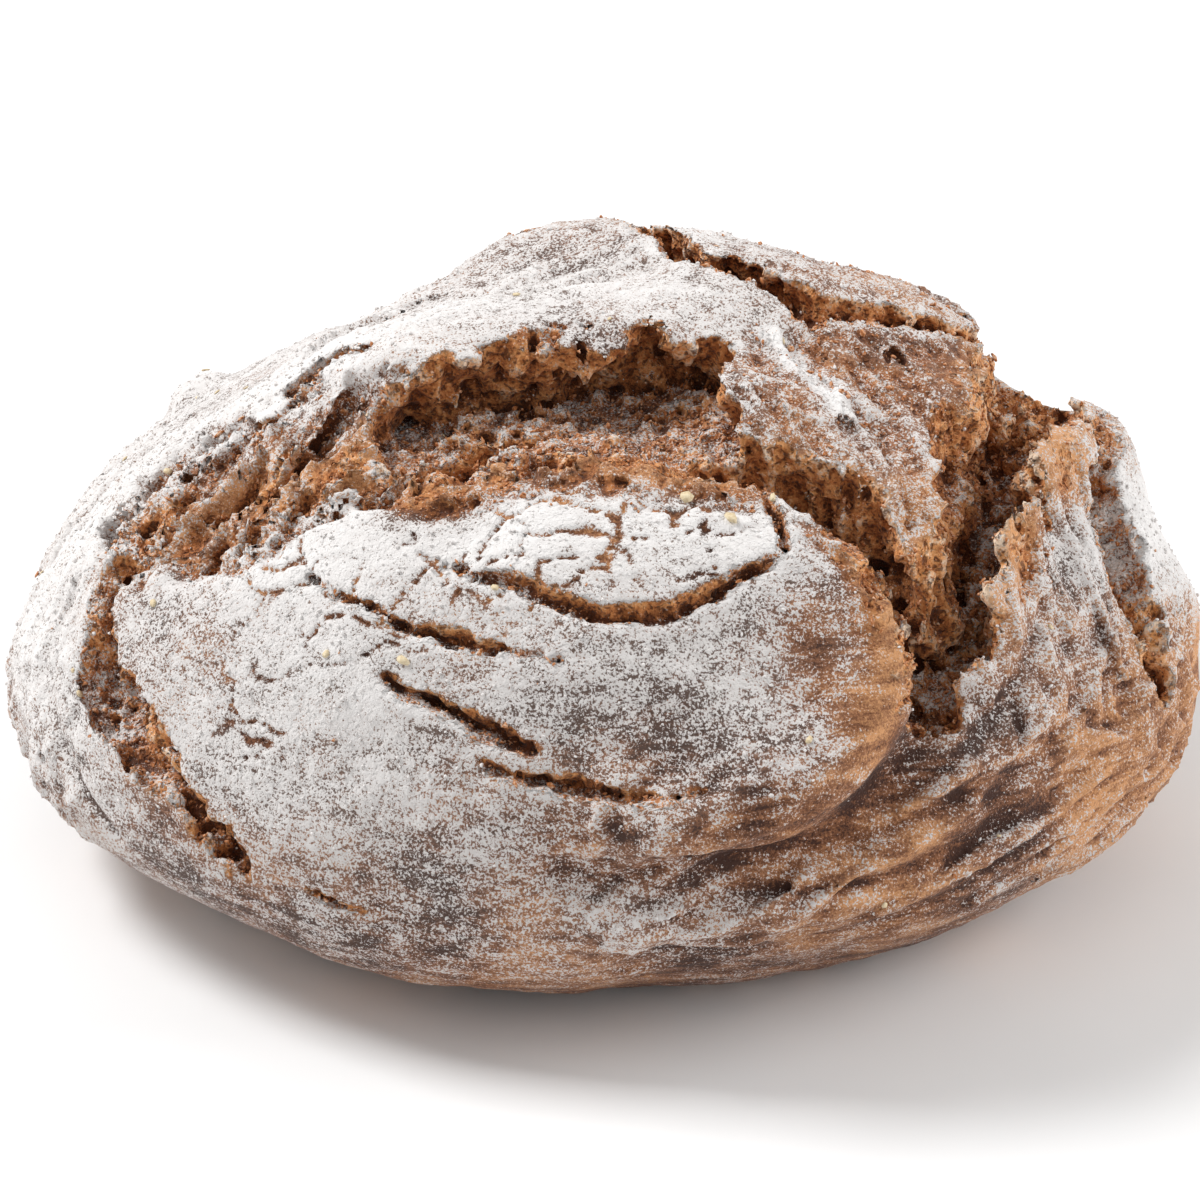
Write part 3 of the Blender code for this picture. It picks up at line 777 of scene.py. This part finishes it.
def bread_material():
    n = Nodes("crust")
    place = n.place()
    flow = n.attribute("flow", "Vector")
    torn, deep, flour = n.attribute("torn"), n.attribute("deep"), n.attribute("flour")
    bake_and_painted_shade, cavity = n.attribute("bake_and_painted_shade"), n.attribute("cavity")

    patches = n.noise(place, 7, 3, 0.65)
    pores = n.noise(place, 1.9, 2, 0.7)
    grain = n.noise(place, 0.52, 2, 0.8)
    pits = n.between(n.noise(place, 1.1, 1, 0.6), 0.28, 0.50)
    streaks = n.noise(flow, 2.4, 3, 0.7)

    # Crust colour: the cavity term paints shade into the hollows.
    crust_level = n.total((bake_and_painted_shade, 0.50), (patches, 0.5), (streaks, 0.9), (grain, 0.8), (cavity, -0.30), -0.90)
    crust = n.ramp(crust_level, [(0.24, CRUST_DARK), (0.46, CRUST_BROWN), (0.74, CRUST_TAN)])
    # Crumb colour: the cavity term paints shade into the hollows of the tears.
    torn_level = n.total((bake_and_painted_shade, 0.35), (pores, 1.1), (patches, 0.5), (grain, 0.7), (cavity, -0.45), -0.85)
    crumb_colour = n.ramp(torn_level, [(0.08, TORN_DARK), (0.38, TORN_BROWN), (0.66, TORN_ORANGE), (0.95, TORN_PALE)])
    # Painted shade in the crumb's pits, dark where the bump sinks them.
    crumb_colour = n.mix(n.total((pits, 0.8), 0.2), TORN_DARK, crumb_colour)
    # Painted shade deep in the tears: the deeper the crumb, the darker.
    crumb_colour = n.mix(n.math("MULTIPLY", deep, 0.22), crumb_colour, DEEP_TEAR_SHADE)
    bare = n.mix(torn, crust, crumb_colour)

    dust_level = n.total((flour, 1.0), (grain, 1.9), (pores, 0.6), (streaks, 0.65), (patches, 0.6), -1.87)
    dust = n.between(dust_level, 0.44, 0.60)
    bare = n.mix(n.between(flour, 0.2, 1.4), bare, FILM)
    # Thin flour is grey, thick flour white; as the flour rises on upward and left faces, this is partly painted light
    # and shade on the flour.
    powder = n.mix(n.between(n.total((flour, 0.8), (pores, 0.5), -0.1), 0.3, 1.1), FLOUR_GREY, FLOUR_WHITE)
    n.put(n.shader.inputs["Base Color"], n.mix(dust, bare, powder))

    n.put(n.shader.inputs["Roughness"], n.total((dust, 0.18), 0.76))
    n.shader.inputs["Specular IOR Level"].default_value = 0.25
    n.shader.inputs["Sheen Weight"].default_value = 0.08
    rough = n.total((torn, 1.4), 0.5)
    height = n.total((grain, 0.4), (n.math("MULTIPLY", n.total(pores, (pits, 0.5)), rough), 1.0))
    n.put(n.shader.inputs["Normal"], n.bump(height, 0.6))
    return n.material


def powder_material():
    n = Nodes("flour")
    grain = n.noise(n.place(), 0.4, 2, 0.6)
    n.put(n.shader.inputs["Base Color"], n.ramp(grain, [(0.3, FLOUR_GREY), (0.65, FLOUR_WHITE)]))
    n.shader.inputs["Roughness"].default_value = 0.95
    n.put(n.shader.inputs["Normal"], n.bump(grain, 0.08))
    return n.material


def crumb_material():
    n = Nodes("crumb")
    grain = n.noise(n.place(), 0.7, 3, 0.6)
    n.put(n.shader.inputs["Base Color"], n.ramp(grain, [(0.3, TORN_DARK), (0.48, TORN_BROWN), (0.75, TORN_PALE)]))
    n.shader.inputs["Roughness"].default_value = 0.9
    n.put(n.shader.inputs["Normal"], n.bump(grain, 0.15))
    return n.material


def bran_material():
    n = Nodes("bran")
    grain = n.noise(n.place(), 0.6, 3, 0.6)
    colours = [(0.3, srgb(206, 182, 142)), (0.7, srgb(236, 222, 190))]
    n.put(n.shader.inputs["Base Color"], n.ramp(grain, colours))
    n.shader.inputs["Roughness"].default_value = 0.7
    n.put(n.shader.inputs["Normal"], n.bump(grain, 0.1))
    return n.material


def floor_material():
    n = Nodes("floor")
    n.put(n.shader.inputs["Base Color"], n.ramp(n.noise(n.place(), 60, 2), [(0.3, srgb(240, 240, 240)), (0.7, srgb(244, 244, 244))]))
    n.shader.inputs["Roughness"].default_value = 0.9
    return n.material


# --- Pieces ----------------------------------------------------------------------------------


def new_piece(name, vertices, faces, material):
    mesh = bpy.data.meshes.new(name)
    mesh.from_pydata((vertices * MM).tolist(), [], faces.tolist())
    mesh.materials.append(material)
    mesh.shade_smooth()
    piece = bpy.data.objects.new(name, mesh)
    bpy.context.scene.collection.objects.link(piece)
    return piece


def pebble(subdivisions):
    """A small ball's vertices and triangles."""
    bpy.ops.mesh.primitive_ico_sphere_add(subdivisions=subdivisions, radius=1)
    ball = bpy.context.active_object
    vertices = np.array([v.co[:] for v in ball.data.vertices])
    faces = np.array([f.vertices[:] for f in ball.data.polygons])
    bpy.data.objects.remove(ball)
    return vertices, faces


def scatter(name, places, normals, sizes, thickness, roughness, sink, material, stretch=(0.75, 1.35), tilt=0.0):
    """One joined mesh of uneven pebbles on a surface: round or long, lying flat or sticking out."""
    ball, faces = pebble(1)
    count = len(places)
    normals = normals + tilt * random.normal(size=(count, 3))
    normals /= np.linalg.norm(normals, axis=1)[:, None]
    side = np.cross(normals, random.normal(size=(count, 3)))
    side /= np.linalg.norm(side, axis=1)[:, None]
    other = np.cross(normals, side)
    stretch = random.uniform(*stretch, count)
    shape = ball[None] * (1 + roughness * random.normal(size=(count, len(ball), 1)).clip(-1.5, 1.5))
    scale = np.stack([sizes * stretch, sizes / stretch, sizes * thickness], 1)
    local = shape * scale[:, None]
    local[..., 2] += (sizes * thickness * (1 - sink))[:, None]
    world = (places[:, None] + local[..., :1] * side[:, None] + local[..., 1:2] * other[:, None]
             + local[..., 2:] * normals[:, None])
    all_faces = faces[None] + (np.arange(count) * len(ball))[:, None, None]
    return new_piece(name, world.reshape(-1, 3), all_faces.reshape(-1, 3), material)


def pick(weights, count):
    return random.choice(len(weights), count, replace=False, p=weights / weights.sum())


def aim(thing, target):
    thing.rotation_euler = (Vector(target) - thing.location).to_track_quat("-Z", "Y").to_euler()


def add_area_light(name, location, size, power, target, colour=(1, 1, 1)):
    light = bpy.data.lights.new(name, "AREA")
    light.energy = power
    light.size = size
    light.color = colour
    lamp = bpy.data.objects.new(name, light)
    lamp.location = location
    bpy.context.scene.collection.objects.link(lamp)
    aim(lamp, target)


# --- The scene -------------------------------------------------------------------------------

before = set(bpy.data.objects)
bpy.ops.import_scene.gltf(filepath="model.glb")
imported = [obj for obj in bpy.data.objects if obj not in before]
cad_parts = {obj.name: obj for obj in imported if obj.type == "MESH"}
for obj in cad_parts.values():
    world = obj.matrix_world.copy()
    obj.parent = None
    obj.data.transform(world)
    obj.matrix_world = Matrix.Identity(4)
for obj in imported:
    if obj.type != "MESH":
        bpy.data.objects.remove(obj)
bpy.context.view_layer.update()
low, high = (np.array(corner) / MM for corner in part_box("rye_loaf"))

vertices, quads = main_part(*surface_net(sample_field()))
moved, looks = describe(vertices, quads)
middle = (moved.min(axis=0) + moved.max(axis=0)) / 2
shift = (low + high) / 2 - middle
shift[2] = 0

crust = bread_material()
loaf = new_piece("loaf", moved + shift, quads, crust)
for name, values in looks.items():
    kind, field = ("FLOAT_VECTOR", "vector") if values.ndim == 2 else ("FLOAT", "value")
    layer = loaf.data.attributes.new(name, kind, "POINT")
    layer.data.foreach_set(field, values.astype(np.float32).ravel())

normals = normals_of(moved, quads)
dusty = np.clip(looks["flour"] - 0.35, 0.02, 1) * (normals[:, 2] > -0.2) * (moved[:, 2] > 12)
chosen = pick(dusty, GRAINS)
grains = scatter("flour_grains", moved[chosen] + shift, normals[chosen],
                 random.gamma(3.0, 0.06, GRAINS).clip(0.08, 0.45), 0.8, 0.2, 0.35, powder_material())
crumbly = (looks["torn"] + 0.002) * (normals[:, 2] > 0.1) * (moved[:, 2] > 20)
chosen = pick(crumbly, CRUMBS)
crumbs = scatter("crumbs", moved[chosen] + shift, normals[chosen],
                 random.gamma(3.0, 0.09, CRUMBS).clip(0.12, 0.8), 0.8, 0.35, 0.4, crumb_material())
chosen = pick(crumbly, SHREDS)
shreds = scatter("shreds", moved[chosen] + shift, normals[chosen], random.gamma(4.0, 0.075, SHREDS).clip(0.12, 0.7),
                 0.6, 0.25, 0.6, crumb_material(), (1.1, 2.0), 0.5)
chosen = np.append(pick(dusty, FLAKES), [np.linalg.norm(vertices - p, axis=1).argmin() for p in on_the_crust(np.array(BRAN_PLACES, float))])
flakes = scatter("bran_flakes", moved[chosen] + shift, normals[chosen],
                 np.append(random.uniform(0.4, 0.9, FLAKES), [1.6, 1.4, 1.2]), 0.3, 0.12, 0.1, bran_material())

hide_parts("rye_loaf")
for piece in (loaf, grains, crumbs, shreds, flakes):
    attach(piece, "root")

# The floor, lights and camera
bpy.ops.mesh.primitive_plane_add(size=8)
floor = bpy.context.active_object
floor.name = "floor"
floor.data.materials.append(floor_material())

target = Vector((shift[0] * MM, shift[1] * MM, 0.050))
add_area_light("key", (-0.85, 0.22, 1.05), 0.45, 15.5, target)
add_area_light("rim", (1.3, 0.05, 0.65), 0.9, 12, target)
add_area_light("fill", (0.5, -1.3, 0.9), 1.2, 1.5, target)

world = bpy.data.worlds.new("studio")
world.use_nodes = True
world.node_tree.nodes["Background"].inputs["Color"].default_value = (1, 1, 1, 1)
world.node_tree.nodes["Background"].inputs["Strength"].default_value = 0.48
bpy.context.scene.world = world

ELEVATION, DISTANCE, FRAME_WIDTH = math.radians(30), 1.0, 0.241
camera = bpy.data.objects.new("camera", bpy.data.cameras.new("camera"))
camera.location = target + DISTANCE * Vector((0, -math.cos(ELEVATION), math.sin(ELEVATION)))
camera.data.lens = camera.data.sensor_width * DISTANCE / FRAME_WIDTH
camera.data.clip_start = 0.05
bpy.context.scene.collection.objects.link(camera)
aim(camera, target)
bpy.context.scene.camera = camera
bpy.context.scene.view_settings.view_transform = "Standard"


def plain(box):
    return [[float(value) for value in corner] for corner in box]
